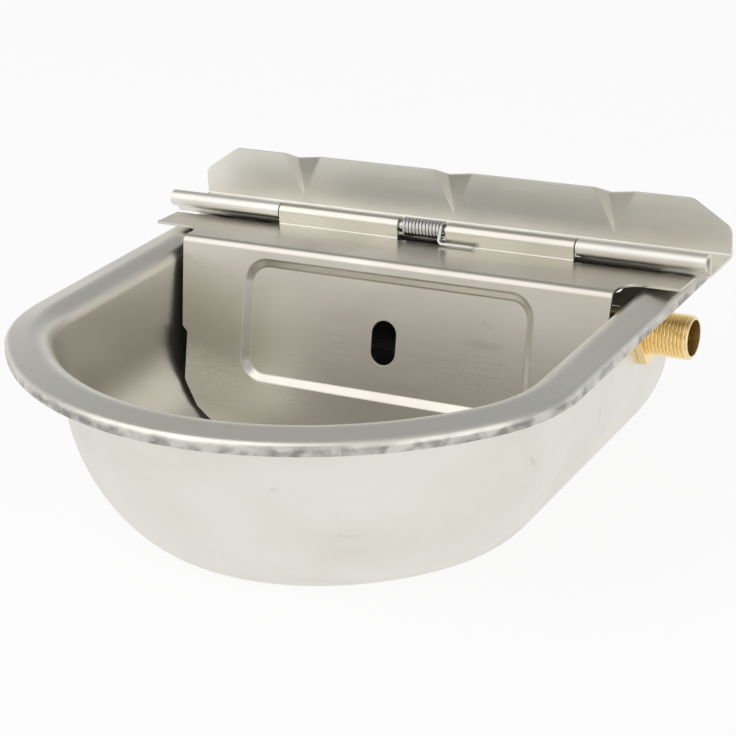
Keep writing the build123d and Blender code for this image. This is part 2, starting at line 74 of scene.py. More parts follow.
# %% [markdown]
# ## The camera
# A long lens from about a metre away keeps the bowl's proportions calm. The place and the three
# angles are those at which the hinge ends, the rolled lip and the guard fall where they should.
# A camera looks along its own -Z, so its three axes are worked out from the angles: where it looks
# from, which way is right in the picture, and a small roll about the line of sight.

# %% Camera
camera_place = Vector((0.4534, -0.9022, 0.3596))
azimuth, elevation, roll = math.radians(29.38), math.radians(22.35), math.radians(-3.01)
lens_mm, sensor_mm = 103.69, 36.0

back = Vector((
    math.sin(azimuth) * math.cos(elevation),
    -math.cos(azimuth) * math.cos(elevation),
    math.sin(elevation),
))
level_right = Vector((math.cos(azimuth), math.sin(azimuth), 0.0))
level_up = back.cross(level_right)
picture_right = level_right * math.cos(roll) + level_up * math.sin(roll)
picture_up = level_up * math.cos(roll) - level_right * math.sin(roll)

camera_data = bpy.data.cameras.new("camera")
camera_data.lens = lens_mm
camera_data.sensor_width = sensor_mm
camera_data.clip_start, camera_data.clip_end = 0.05, 50.0
camera = bpy.data.objects.new("camera", camera_data)
bpy.context.scene.collection.objects.link(camera)
turn = Matrix((picture_right, picture_up, back)).transposed()
camera.matrix_world = Matrix.Translation(camera_place) @ turn.to_4x4()
bpy.context.scene.camera = camera
print("camera looks from", [round(v, 3) for v in camera_place])

# %% [markdown]
# ## The studio
# Polished steel shows what stands round it, so the surroundings matter more than the lamps. A pale
# floor and a bright horizon give the sheet its light tone, and a greyer ceiling lets the rounded lip
# show its form as a darker band. The floor comes first: one large square just under the bowl, staged
# so that it doesn't count as a piece of it.

# %% Floor
floor_gap = 0.0005
floor_half = 6.0
floor_height = cad_low.z - floor_gap
floor_mesh = bpy.data.meshes.new("floor")
floor_mesh.from_pydata(
    [(x * floor_half, y * floor_half, floor_height) for x, y in ((-1, -1), (1, -1), (1, 1), (-1, 1))],
    [],
    [(0, 1, 2, 3)],
)
floor = bpy.data.objects.new("floor", floor_mesh)
bpy.context.scene.collection.objects.link(floor)
print("floor at", round(floor_height, 5))

# %% [markdown]
# A material is a graph of nodes. Two helpers do what every finish below needs: one makes a material
# with its shader, and the other adds a node to a graph and fills in its values.

# %% Helpers for materials


def new_material(name):
    """A material with its node tree and its shader; returns all three."""
    made = bpy.data.materials.new(name)
    made.use_nodes = True
    tree = made.node_tree
    return made, tree, tree.nodes["Principled BSDF"]


def add(tree, kind, **values):
    """A node of that kind in the tree. A value goes to the node's property, or else to its socket."""
    node = tree.nodes.new(kind)
    for name, value in values.items():
        if hasattr(node, name):
            setattr(node, name, value)
        else:
            node.inputs[name.replace("_", " ")].default_value = value
    return node


# %% [markdown]
# The camera and the reflections see the floor as white light, less a small share in which its own
# shading and the bowl's shadow stay. All other rays see a plain pale surface, which lights the bowl
# from below as a real floor does.

# %% Floor finish
floor_tone = 0.86
floor_roughness = 0.9
shadow_share = 0.10
floor_finish, floor_tree, floor_shader = new_material("pale_floor")
floor_shader.inputs["Base Color"].default_value = (floor_tone, floor_tone, floor_tone, 1)
floor_shader.inputs["Roughness"].default_value = floor_roughness
floor_rays = add(floor_tree, "ShaderNodeLightPath")
floor_white = add(floor_tree, "ShaderNodeEmission", Color=(1, 1, 1, 1), Strength=1.0)
floor_seen = add(floor_tree, "ShaderNodeMath", operation="MAXIMUM")
floor_part = add(floor_tree, "ShaderNodeMath", operation="MULTIPLY")
floor_part.inputs[1].default_value = 1 - shadow_share
floor_mix = add(floor_tree, "ShaderNodeMixShader")
floor_tree.links.new(floor_rays.outputs["Is Camera Ray"], floor_seen.inputs[0])
floor_tree.links.new(floor_rays.outputs["Is Glossy Ray"], floor_seen.inputs[1])
floor_tree.links.new(floor_seen.outputs[0], floor_part.inputs[0])
floor_tree.links.new(floor_part.outputs[0], floor_mix.inputs[0])
floor_tree.links.new(floor_shader.outputs[0], floor_mix.inputs[1])
floor_tree.links.new(floor_white.outputs[0], floor_mix.inputs[2])
floor_tree.links.new(floor_mix.outputs[0], floor_tree.nodes["Material Output"].inputs["Surface"])
floor_mesh.materials.append(floor_finish)
print("floor finish:", len(floor_tree.nodes), "nodes")

# %% [markdown]
# The sky is a ramp over the height of each direction: near white at the horizon, greyest a little
# over halfway up and lighter again overhead. Only the camera looks past it and sees plain white.

# %% World
sky_tones = (
    (0.0, (0.97, 0.97, 0.96)),
    (0.20, (0.84, 0.84, 0.84)),
    (0.38, (0.50, 0.50, 0.50)),
    (0.62, (0.36, 0.36, 0.36)),
    (1.0, (0.50, 0.50, 0.50)),
)
world = bpy.data.worlds.new("studio")
bpy.context.scene.world = world
world.use_nodes = True
sky = world.node_tree
sky.nodes.clear()
sky_out = add(sky, "ShaderNodeOutputWorld")
sky_mix = add(sky, "ShaderNodeMixShader")
sky_white = add(sky, "ShaderNodeBackground", Color=(1, 1, 1, 1))
sky_around = add(sky, "ShaderNodeBackground")
sky_rays = add(sky, "ShaderNodeLightPath")
sky_where = add(sky, "ShaderNodeTexCoord")
sky_split = add(sky, "ShaderNodeSeparateXYZ")
sky_ramp = add(sky, "ShaderNodeValToRGB")
stops = sky_ramp.color_ramp.elements
for position, _ in sky_tones[1:-1]:
    stops.new(position)
for stop, (_, tone) in zip(stops, sky_tones):
    stop.color = (*tone, 1)
sky.links.new(sky_where.outputs["Generated"], sky_split.inputs["Vector"])
sky.links.new(sky_split.outputs["Z"], sky_ramp.inputs["Fac"])
sky.links.new(sky_ramp.outputs["Color"], sky_around.inputs["Color"])
sky.links.new(sky_rays.outputs["Is Camera Ray"], sky_mix.inputs["Fac"])
sky.links.new(sky_around.outputs["Background"], sky_mix.inputs[1])
sky.links.new(sky_white.outputs["Background"], sky_mix.inputs[2])
sky.links.new(sky_mix.outputs["Shader"], sky_out.inputs["Surface"])
print("sky:", [(round(stop.position, 2), round(stop.color[0], 2)) for stop in stops])

# %% [markdown]
# Two large square lamps shape the sheet without small bright spots in it: a strong one from the left
# and a weak one from the right. The view transform is the plain one, so that a colour renders about
# as it is written.

# %% Lamps
bowl_middle = (0.0, -0.12, 0.0)
lamps = {
    "key": ((-0.9, -1.3, 1.5), 2.4, 22),
    "fill": ((1.4, -0.9, 0.8), 1.8, 9),
}


def soft_lamp(name, place, target, size, watts):
    """A square area lamp of that size at place, facing target."""
    data = bpy.data.lights.new(name, "AREA")
    data.shape = "SQUARE"
    data.size = size
    data.energy = watts
    lamp = bpy.data.objects.new(name, data)
    bpy.context.scene.collection.objects.link(lamp)
    lamp.location = place
    facing = Vector(target) - Vector(place)
    lamp.rotation_euler = facing.to_track_quat("-Z", "Y").to_euler()


for name, (place, size, watts) in lamps.items():
    soft_lamp(name, place, bowl_middle, size, watts)
bpy.context.scene.view_settings.view_transform = "Standard"
print("lamps:", ", ".join(lamps))

# %% [markdown]
# ## Metal finishes
# Pressed and rolled sheet is never one flat grey. Rolling leaves a fine grain along the sheet,
# handling leaves broad smears, and both change how sharp the reflection is more than its colour.
# So each metal is built the same way: a stretched noise for the grain drives roughness and a very
# small bump, a broad noise blends in a worn, duller tint, and a third noise, cut to thin lines,
# gives scratches. Everything reads Object coordinates, which are metres here, so a scale of 400 is a
# 2.5 mm pattern. Four small helpers come first, one for each step of such a graph.

# %% Noise and blending


def noise(tree, source, scale, stretch=(1, 1, 1), detail=3.0, distortion=0.0):
    """Noise on Object coordinates, stretched by a Mapping node; returns its value socket."""
    placed = add(tree, "ShaderNodeMapping")
    placed.inputs["Scale"].default_value = stretch
    texture = add(tree, "ShaderNodeTexNoise", Scale=scale, Detail=detail, Distortion=distortion)
    tree.links.new(source, placed.inputs["Vector"])
    tree.links.new(placed.outputs["Vector"], texture.inputs["Vector"])
    return texture.outputs["Fac"]


def spread(tree, value, low, high, to_low, to_high):
    """The value mapped from low..high onto to_low..to_high and held within it."""
    mapped = add(tree, "ShaderNodeMapRange")
    for socket, number in (("From Min", low), ("From Max", high), ("To Min", to_low), ("To Max", to_high)):
        mapped.inputs[socket].default_value = number
    tree.links.new(value, mapped.inputs["Value"])
    return mapped.outputs["Result"]


def blend_tint(tree, share, first, second):
    """Colour that goes from first to second with share; either may be a socket or three numbers."""
    mixed = add(tree, "ShaderNodeMix", data_type="RGBA")
    tree.links.new(share, mixed.inputs[0])
    for socket, colour in ((mixed.inputs[6], first), (mixed.inputs[7], second)):
        if isinstance(colour, tuple):
            socket.default_value = (*colour, 1)
        else:
            tree.links.new(colour, socket)
    return mixed.outputs[2]


def combine(tree, operation, first, second):
    """Maths on two values, held between 0 and 1; the second may be a number."""
    node = add(tree, "ShaderNodeMath", operation=operation, use_clamp=True)
    tree.links.new(first, node.inputs[0])
    if isinstance(second, float):
        node.inputs[1].default_value = second
    else:
        tree.links.new(second, node.inputs[1])
    return node.outputs[0]


# %% Metal
smear_scale, smear_stretch = 14.0, (1, 1, 1.6)
smear_from, smear_full = 0.35, 0.70
scratch_scale, scratch_stretch = 90.0, (0.15, 1.0, 0.5)
scratch_from, scratch_full = 0.70, 0.76
scratch_tone, scratch_share = 0.72, 0.35
grain_from, grain_full = 0.30, 0.70
grain_depth = 0.000008
grain_swing = 0.07
smear_dulls = 0.18


def metal(name, tint, worn_tint, rough, grain, grain_scale):
    """A metal with grain, smears and scratches; grain is the stretch that draws the grain out.

    Its roughness swings about rough with the grain, and rises by a share of rough in the smears.
    """
    made, tree, shader = new_material(name)
    here = add(tree, "ShaderNodeTexCoord").outputs["Object"]
    lines = noise(tree, here, grain_scale, grain, detail=4.0)
    smears = noise(tree, here, smear_scale, smear_stretch, detail=5.0, distortion=0.6)
    cuts = noise(tree, here, scratch_scale, scratch_stretch, detail=2.0, distortion=1.5)
    scratches = spread(tree, cuts, scratch_from, scratch_full, 0.0, 1.0)
    tone = spread(tree, smears, smear_from, smear_full, 0.0, 1.0)
    colour = blend_tint(tree, tone, tint, worn_tint)
    dull = tuple(part * scratch_tone for part in worn_tint)
    colour = blend_tint(tree, combine(tree, "MULTIPLY", scratches, scratch_share), colour, dull)
    least, most = rough * (1 - grain_swing), rough * (1 + grain_swing)
    base = spread(tree, lines, grain_from, grain_full, least, most)
    roughness = combine(tree, "ADD", base, combine(tree, "MULTIPLY", tone, rough * smear_dulls))
    bump = add(tree, "ShaderNodeBump", Strength=1.0, Distance=grain_depth)
    tree.links.new(lines, bump.inputs["Height"])
    tree.links.new(colour, shader.inputs["Base Color"])
    tree.links.new(roughness, shader.inputs["Roughness"])
    tree.links.new(bump.outputs["Normal"], shader.inputs["Normal"])
    shader.inputs["Metallic"].default_value = 1.0
    return made


# %% [markdown]
# The sheets are rolled along X, so their grain runs that way. The cover is a slightly darker and
# glossier sheet than the plate, the drawn wire and rod are greyer, and the brass is turned about X,
# which leaves its fine lines round that axis. The bowl's own steel follows with the bowl.

# %% The plain metals
along_x = (0.04, 1.0, 1.0)
round_x = (1.0, 0.05, 0.05)
plate_steel = metal("plate_steel", (0.80, 0.79, 0.73), (0.74, 0.72, 0.66), 0.42, along_x, 900.0)
cover_steel = metal("cover_steel", (0.66, 0.635, 0.57), (0.59, 0.56, 0.49), 0.28, along_x, 900.0)
rod_steel = metal("drawn_steel", (0.58, 0.58, 0.56), (0.50, 0.50, 0.48), 0.22, along_x, 1200.0)
brass = metal("turned_brass", (0.95, 0.77, 0.43), (0.90, 0.69, 0.34), 0.24, round_x, 2200.0)
print("metals:", plate_steel.name, cover_steel.name, rod_steel.name, brass.name)

# %% [markdown]
# ## Rubber and plastic
# The seals and the float are moulded. Moulded rubber is dull with a fine, even pore, and moulded
# plastic shows slight flow marks and a thin chalky bloom from the water. Both come from two noises:
# a fine one for the surface and a broad one for the bloom.

# %% Moulded finishes
bloom_scale = 40.0
bloom_from, bloom_full = 0.40, 0.75
bloom_dulls = 1.35


def moulded(name, tint, bloom_tint, rough, pore_scale, pore_depth):
    """A moulded finish: fine pores in the bump, and a broad bloom in colour and roughness."""
    made, tree, shader = new_material(name)
    here = add(tree, "ShaderNodeTexCoord").outputs["Object"]
    pores = noise(tree, here, pore_scale, detail=3.0)
    clouds = noise(tree, here, bloom_scale, detail=5.0, distortion=0.8)
    bloom = spread(tree, clouds, bloom_from, bloom_full, 0.0, 1.0)
    roughness = spread(tree, bloom, 0.0, 1.0, rough, min(1.0, rough * bloom_dulls))
    bump = add(tree, "ShaderNodeBump", Strength=1.0, Distance=pore_depth)
    tree.links.new(pores, bump.inputs["Height"])
    tree.links.new(blend_tint(tree, bloom, tint, bloom_tint), shader.inputs["Base Color"])
    tree.links.new(roughness, shader.inputs["Roughness"])
    tree.links.new(bump.outputs["Normal"], shader.inputs["Normal"])
    return made


rubber_pore, plastic_pore = 0.00003, 0.00001
rubber = moulded(
    "black_rubber", (0.022, 0.022, 0.022), (0.045, 0.044, 0.042), 0.60, 3000.0, rubber_pore)
white_plastic = moulded(
    "white_plastic", (0.78, 0.78, 0.75), (0.70, 0.69, 0.64), 0.38, 2500.0, plastic_pore)
float_plastic = moulded(
    "float_plastic", (0.035, 0.036, 0.040), (0.075, 0.075, 0.078), 0.36, 2500.0, plastic_pore)
print("moulded:", rubber.name, white_plastic.name, float_plastic.name)

# %% [markdown]
# ## Soft edges on the plain pieces
# A sheet's cut edge and a nut's corner always catch a thin line of light. The model's own meshes are
# loose triangles, so four modifiers finish them without touching the mesh: a weld joins the
# triangles, a small bevel rounds what is sharper than a set angle, and a short node group shades the
# rest smooth but keeps true corners crisp. A last modifier lets large faces decide the shading, so
# that a flat sheet still looks flat beside its rounded edge.

# %% Smooth but crisp
smooth_angle = math.radians(24)
shade = bpy.data.node_groups.new("smooth_but_crisp", "GeometryNodeTree")
shade.interface.new_socket("Geometry", in_out="INPUT", socket_type="NodeSocketGeometry")
shade.interface.new_socket("Geometry", in_out="OUTPUT", socket_type="NodeSocketGeometry")
shape_in = add(shade, "NodeGroupInput")
shape_out = add(shade, "NodeGroupOutput")
faces_smooth = add(shade, "GeometryNodeSetShadeSmooth", domain="FACE")
edges_crisp = add(shade, "GeometryNodeSetShadeSmooth", domain="EDGE")
edges_crisp.inputs["Shade Smooth"].default_value = False
edge_angle = add(shade, "GeometryNodeInputMeshEdgeAngle")
sharp = add(shade, "FunctionNodeCompare", data_type="FLOAT", operation="GREATER_THAN")
sharp.inputs[1].default_value = smooth_angle
shade.links.new(shape_in.outputs[0], faces_smooth.inputs["Geometry"])
shade.links.new(faces_smooth.outputs[0], edges_crisp.inputs["Geometry"])
shade.links.new(edge_angle.outputs["Unsigned Angle"], sharp.inputs[0])
shade.links.new(sharp.outputs[0], edges_crisp.inputs["Selection"])
shade.links.new(edges_crisp.outputs[0], shape_out.inputs[0])
print("edges stay crisp over", round(math.degrees(smooth_angle)), "degrees")

# %% Edge finish
weld_reach = 0.000002
bevel_angle = math.radians(40)


def finish_edges(piece, width):
    """Welds a piece, rounds its corners by width metres and shades it smooth between them."""
    weld = piece.modifiers.new("weld", "WELD")
    weld.merge_threshold = weld_reach
    if width > 0:
        bevel = piece.modifiers.new("edges", "BEVEL")
        bevel.width = width
        bevel.segments = 2
        bevel.limit_method = "ANGLE"
        bevel.angle_limit = bevel_angle
    smooth = piece.modifiers.new("shade", "NODES")
    smooth.node_group = shade
    flat_first = piece.modifiers.new("flat faces stay flat", "WEIGHTED_NORMAL")
    flat_first.keep_sharp = True


# %% [markdown]
# Each plain piece now gets its finish and the width of its rounded edge in metres: wide on the nuts,
# the hinge pin and the float, narrow on the small turned parts, and none on the O-ring and the split
# pin, which are round in section.

# %% Finishes of the plain pieces
finishes = {
    "hinge_pin": (rod_steel, 0.0004),
    "lock_nut": (brass, 0.0004),
    "inlet_gasket": (rubber, 0.0003),
    "nozzle": (brass, 0.0002),
    "nozzle_o_ring": (rubber, 0.0),
    "plunger": (white_plastic, 0.0003),
    "plunger_seal": (rubber, 0.0002),
    "float_lever": (rod_steel, 0.0002),
    "lever_pin": (rod_steel, 0.0002),
    "lever_cotter": (rod_steel, 0.0),
    "float_top": (float_plastic, 0.0004),
    "float_bottom": (float_plastic, 0.0004),
    "float_stud": (rod_steel, 0.0002),
    "stud_washer": (rod_steel, 0.0001),
    "wing_nut": (brass, 0.0004),
}
for name, (finish, width) in finishes.items():
    nodes[name].data.materials[0] = finish
    finish_edges(nodes[name], width)
print("edges finished on", len(finishes), "pieces")

# %% [markdown]
# ## Pressed sheets
# A press can't make a knife edge: where the guard steps into its panel and where the wall plate's V
# marks rise, the sheet turns over a radius of a millimetre or two. A bevel by angle would round the
# cut edges as much, so these two pieces are copied, joined, and only the edges that turn by a
# pressed amount get the large radius. The V marks also get their full height here: the plain plate
# has them shallow.

# %% Copies
flat_angle = math.radians(0.5)
cut_edge = 0.0003


def welded_copy(node):
    """A copy of a node's mesh with its loose triangles joined and its flat faces made whole."""
    work = bmesh.new()
    work.from_mesh(nodes[node].data)
    bmesh.ops.remove_doubles(work, verts=work.verts, dist=weld_reach)
    bmesh.ops.dissolve_limit(work, angle_limit=flat_angle, verts=work.verts, edges=work.edges)
    return work


def stand_in(name, work, node, body, material, width):
    """Turns the reshaped copy into a piece that stands for the node; width rounds its cut edges."""
    mesh = bpy.data.meshes.new(name)
    work.to_mesh(mesh)
    work.free()
    mesh.materials.append(material)
    piece = bpy.data.objects.new(name, mesh)
    bpy.context.scene.collection.objects.link(piece)
    finish_edges(piece, width)
    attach(piece, body)
    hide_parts(node)
    print(name, len(mesh.polygons), "faces")


def soften(work, turns, radius, chosen):
    """Rounds the edges that turn by an amount within turns, in degrees, where chosen says so."""
    low_turn, high_turn = turns
    pressed = [
        edge for edge in work.edges
        if len(edge.link_faces) == 2
        and low_turn < math.degrees(edge.calc_face_angle(0)) < high_turn
        and all(chosen(corner.co) for corner in edge.verts)
    ]
    bmesh.ops.bevel(
        work, geom=pressed, offset=radius, offset_type="OFFSET", segments=4, profile=0.5,
        affect="EDGES", clamp_overlap=True)
    return len(pressed)


print("copies are joined within", weld_reach, "and cut edges rounded by", cut_edge)

# %% Cover
press_turns = (20, 50)
press_radius = 0.0016
panel_within, panel_below = 0.085, 0.019


def on_panel(at):
    """Whether a point lies on the guard's pressed panel, clear of the guard's sides and its fold."""
    return abs(at.x) < panel_within and at.z < panel_below


work = welded_copy("cover")
count = soften(work, press_turns, press_radius, on_panel)
print("pressed edges on the guard:", count)
stand_in("sprung_cover", work, "cover", "cover", cover_steel, cut_edge)

# %% Wall plate
mark_pitch, mark_extra = 0.086, 0.0022
mark_half, mark_drop, marks_within = 0.0115, 0.0225, 0.1
mark_turns = (6, 60)
mark_radius = 0.0008
ridge_near, top_near = 0.001, 0.0006
plate_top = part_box("wall_plate")[1].z


def off_mark(x):
    """Distance along X from the middle of the nearest mark."""
    return abs(x - mark_pitch * round(x / mark_pitch))


def in_mark(at):
    """Whether a point lies on one of the three marks, at or below the plate's top edge."""
    return off_mark(at.x) < mark_half and abs(at.x) < marks_within and at.z > plate_top - mark_drop


work = welded_copy("wall_plate")
for corner in work.verts:
    if in_mark(corner.co) and off_mark(corner.co.x) < ridge_near and corner.co.z > plate_top - top_near:
        corner.co.y -= mark_extra
count = soften(work, mark_turns, mark_radius, in_mark)
print("pressed edges on the wall plate:", count)
stand_in("folded_plate", work, "wall_plate", "bowl_body", plate_steel, cut_edge)

# %% [markdown]
# ## The pressed bowl
# The bowl is one sheet, drawn deep and rolled over at the lip. As a surface it is a section carried
# round a plan: the plan is a D with a broad nose, two tighter cheeks, straight sides and a flat back,
# and the section runs from the floor up the inside, over the lip, and back down the outside.
# Every row of the section has its own plan, so the floor curve can be wider at the sides than in
# front. Where the bowl meets the wall the lip fades into a plain upright edge.

# %% Bowl sizes
MM = 0.001
bowl_low, bowl_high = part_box("bowl")
bowl_sheet = 1.2 * MM
lip_width = 21.5 * MM
lip_shoulder = 9.0 * MM
lip_roll = 3.2 * MM
lip_skirt = 2.2 * MM
lip_slope = math.radians(10)
nose_radius = 155.0 * MM
cheek_radius = 74.0 * MM
floor_nose = 82.0 * MM
floor_cheek = 58.0 * MM
back_corner = 14.0 * MM
front_draft = 6.4 * MM
side_round = 40.0 * MM
front_round = 13.6 * MM
back_round = 36.0 * MM
round_height = 47.0 * MM

inner_half = bowl_high.x - lip_width
rim_height = bowl_high.z
inside_floor = bowl_low.z + bowl_sheet
turn_height = inside_floor + round_height
shoulder_height = rim_height - lip_shoulder
straight_wall = shoulder_height - turn_height
print("inside half width", round(inner_half, 5), "depth inside", round(rim_height - inside_floor, 5))

# %% [markdown]
# The plan is built first, and the same count of points goes round every row, so that the rows can be
# joined by plain quads. It runs from the right side round the nose to the left side, and back along
# the wall.

# %% Plan
side_count, cheek_count, nose_count, corner_count, back_count = 14, 26, 56, 12, 14
front_count = 2 * side_count + 2 * cheek_count + nose_count
fade_from, fade_over = 15, 45


def smoothstep(share):
    """Eases from 0 to 1: three times the share squared, less twice its cube."""
    share = np.clip(share, 0, 1)
    return share * share * (3 - 2 * share)


def plan_fade():
    """Share of the lip along the plan: 1 round the front, fading to 0 over each back corner."""
    left, right = [
        1 - smoothstep((np.linspace(*turned, corner_count, endpoint=False) - fade_from) / fade_over)
        for turned in ((0, 90), (90, 0))
    ]
    return np.concatenate([np.ones(front_count), left, np.zeros(back_count), right])


def arc(centre_x, centre_y, radius, start, end, count):
    """Points of an arc: centre plus radius times cosine and sine of an angle from start to end."""
    angle = start + (end - start) * np.linspace(0, 1, count, endpoint=False)
    return centre_x + radius * np.cos(angle), centre_y + radius * np.sin(angle)


def run(x, start_y, end_y, count):
    """Points at one x, from start_y towards end_y."""
    share = np.linspace(0, 1, count, endpoint=False)
    return x + 0 * share, start_y + (end_y - start_y) * share


def plans(side_in, front_in, back_in, shrink, grow):
    """X and Y of the plan for each row of the section.

    The inputs are columns, one number to a row; grow may also differ along the plan. The straight
    sides end at the cheeks, whose circles touch the side and the nose's circle from within.
    """
    out_by = grow[:, :1]
    half = inner_half - side_in + out_by
    front = bowl_low.y + lip_width + front_in - out_by
    rim_nose, rim_cheek = nose_radius - lip_width, cheek_radius - lip_width
    nose = rim_nose + (floor_nose - rim_nose) * shrink + out_by
    cheek = rim_cheek + (floor_cheek - rim_cheek) * shrink + out_by
    nose_y = front + nose
    cheek_x = half - cheek
    cheek_y = nose_y - np.sqrt((nose - cheek) ** 2 - cheek_x ** 2)
    lean = np.arctan2(cheek_y - nose_y, cheek_x)
    corner_x = inner_half - side_in - back_corner
    corner_y = -back_in - back_corner
    left = back_corner + grow[:, front_count:front_count + corner_count]
    right = back_corner + grow[:, -corner_count:]
    flat = grow[:, front_count + corner_count:-corner_count]
    share = np.linspace(0, 1, back_count, endpoint=False)
    parts = [
        run(half, corner_y, cheek_y, side_count),
        arc(cheek_x, cheek_y, cheek, 0 * lean, lean, cheek_count),
        arc(0, nose_y, nose, lean, -math.pi - lean, nose_count),
        arc(-cheek_x, cheek_y, cheek, -math.pi - lean, 0 * lean - math.pi, cheek_count),
        run(-half, cheek_y, corner_y, side_count),
        arc(-corner_x, corner_y, left, math.pi, math.pi / 2, corner_count),
        (corner_x * (2 * share - 1), -back_in + flat),
        arc(corner_x, corner_y, right, math.pi / 2, 0.0, corner_count),
    ]
    return tuple(np.concatenate([part[axis] for part in parts], axis=1) for axis in (0, 1))

# %% [markdown]
# A section row holds six numbers: how far it comes in at the sides, at the front and at the back, how
# far it has gone from the rim's plan to the floor's, how far it lies outside the inner skin, and its
# height. The floor curve and the straight wall are each made twice, once for the inner skin and once
# for the outer one.

# %% Section of the floor curve and the wall


def floor_rows(angle, skin):
    """Rows of the floor curve at those angles, from 0 at the wall to a right angle at the floor.

    The inset grows as one minus the cosine and the depth as the sine, so it meets both level.
    """
    inward, down = 1 - np.cos(angle), round_height * np.sin(angle)
    return np.stack([
        side_round * inward,
        front_draft * (1 + down / straight_wall) + front_round * inward,
        bowl_sheet + back_round * inward,
        inward,
        skin * np.cos(angle),
        turn_height - down - skin * np.sin(angle),
    ], axis=1)


def wall_rows(height, skin):
    """Rows of the straight wall at those heights; only the front leans."""
    none = 0 * height
    lean = front_draft * (shoulder_height - height) / straight_wall
    return np.stack([none, lean, none + bowl_sheet, none, none + skin, height], axis=1)


# %% [markdown]
# Over the lip the sheet turns outwards, runs on with a slight fall, rolls down and ends in a short
# skirt. Its middle line is worked out once, and the two skins lie half a sheet to either side of it.
# At the wall the same rows make a plain upright edge, so that one can fade into the other.

# %% Section of the lip
shoulder_steps, flat_steps, roll_steps, skirt_steps, edge_steps = 16, 4, 12, 2, 7
flat_start, skirt_start = 0.25, 0.5


def lip_middle():
    """Middle line of the lip's sheet and its heading: shoulder arc, sloping run, roll, skirt."""
    bend, tight = lip_shoulder - bowl_sheet / 2, lip_roll - bowl_sheet / 2
    fall, ahead_x = math.sin(lip_slope), math.cos(lip_slope)
    level = (lip_width - bowl_sheet - bend * (1 + fall) - tight * (1 - fall)) / ahead_x
    over = np.linspace(0, math.pi / 2 + lip_slope, shoulder_steps)
    shoulder = np.stack([bowl_sheet / 2 + bend * (1 - np.cos(over)), bend * np.sin(over)], axis=1)
    ahead = np.array([ahead_x, -fall])
    flat = shoulder[-1] + ahead * level * np.linspace(flat_start, 1, flat_steps)[:, None]
    heading = np.linspace(-lip_slope, -math.pi / 2, roll_steps)[1:]
    centre = flat[-1] - tight * np.array([fall, ahead_x])
    rolled = centre + tight * np.stack([-np.sin(heading), np.cos(heading)], axis=1)
    drop = np.array([0, lip_skirt])
    skirt = rolled[-1] - drop * np.linspace(skirt_start, 1, skirt_steps)[:, None]
    path = np.concatenate([shoulder, flat, rolled, skirt]) + np.array([0, shoulder_height])
    turned = np.concatenate([
        math.pi / 2 - over,
        np.full(flat_steps, -lip_slope),
        heading,
        np.full(skirt_steps, -math.pi / 2),
    ])
    return path, turned


def lip_rows():
    """Rows over the lip, both as the full lip and as the plain edge at the wall.

    Each is a list of distances outside the inner skin with their heights. A half circle joins the
    two skins at the sheet's edge: cosine across the sheet and sine beyond it.
    """
    path, heading = lip_middle()
    aside = np.stack([-np.sin(heading), np.cos(heading)], axis=1) * bowl_sheet / 2
    half_turn = np.linspace(0, math.pi, edge_steps)[1:-1, None]
    down = np.array([0, -bowl_sheet / 2])
    edge = path[-1] + aside[-1] * np.cos(half_turn) + down * np.sin(half_turn)
    full = np.concatenate([path + aside, edge, (path - aside)[::-1]])
    rise = np.linspace(0, 1, len(path))[:, None]
    inside = np.array([0, shoulder_height]) + np.array([0, lip_shoulder]) * rise
    across = np.array([0, rim_height]) + np.array([bowl_sheet, 0]) * (1 - np.cos(half_turn)) / 2
    plain = np.concatenate([inside, across, inside[::-1] + np.array([bowl_sheet, 0])])
    return full, plain


# %% [markdown]
# The surface lays every row of the section round its own plan. The grid of points becomes a mesh in
# one step, and a second helper, which the thread and the spring use too, joins double points, turns
# the faces outwards and keeps true corners crisp.

# %% Grid to mesh
crisp_degrees = 32.0


def grid_faces(rows, columns):
    """Quads between neighbours of a grid that closes on itself along its columns."""
    row, column = np.meshgrid(np.arange(rows - 1), np.arange(columns), indexing="ij")
    beside = (column + 1) % columns
    corners = [row * columns + column, row * columns + beside]
    corners += [(row + 1) * columns + beside, (row + 1) * columns + column]
    return np.stack(corners, axis=-1).reshape(-1, 4)


def make_object(name, points, faces, material, crisp=crisp_degrees, lip_share=None):
    """A piece from points and faces, joined, turned outwards and shaded smooth but for corners."""
    mesh = bpy.data.meshes.new(name)
    mesh.from_pydata(points.tolist(), [], [list(face) for face in faces])
    if lip_share is not None:
        mesh.attributes.new("lip_share", "FLOAT", "POINT").data.foreach_set("value", lip_share)
    work = bmesh.new()
    work.from_mesh(mesh)
    bmesh.ops.remove_doubles(work, verts=work.verts, dist=weld_reach)
    bmesh.ops.recalc_face_normals(work, faces=work.faces)
    work.to_mesh(mesh)
    work.free()
    mesh.shade_smooth()
    mesh.set_sharp_from_angle(angle=math.radians(crisp))
    mesh.materials.append(material)
    piece = bpy.data.objects.new(name, mesh)
    bpy.context.scene.collection.objects.link(piece)
    return piece


# %% Bowl surface
curve_rows, straight_rows = 26, 7
floor_rings = np.array([0.02, 0.2, 0.4, 0.6, 0.8])


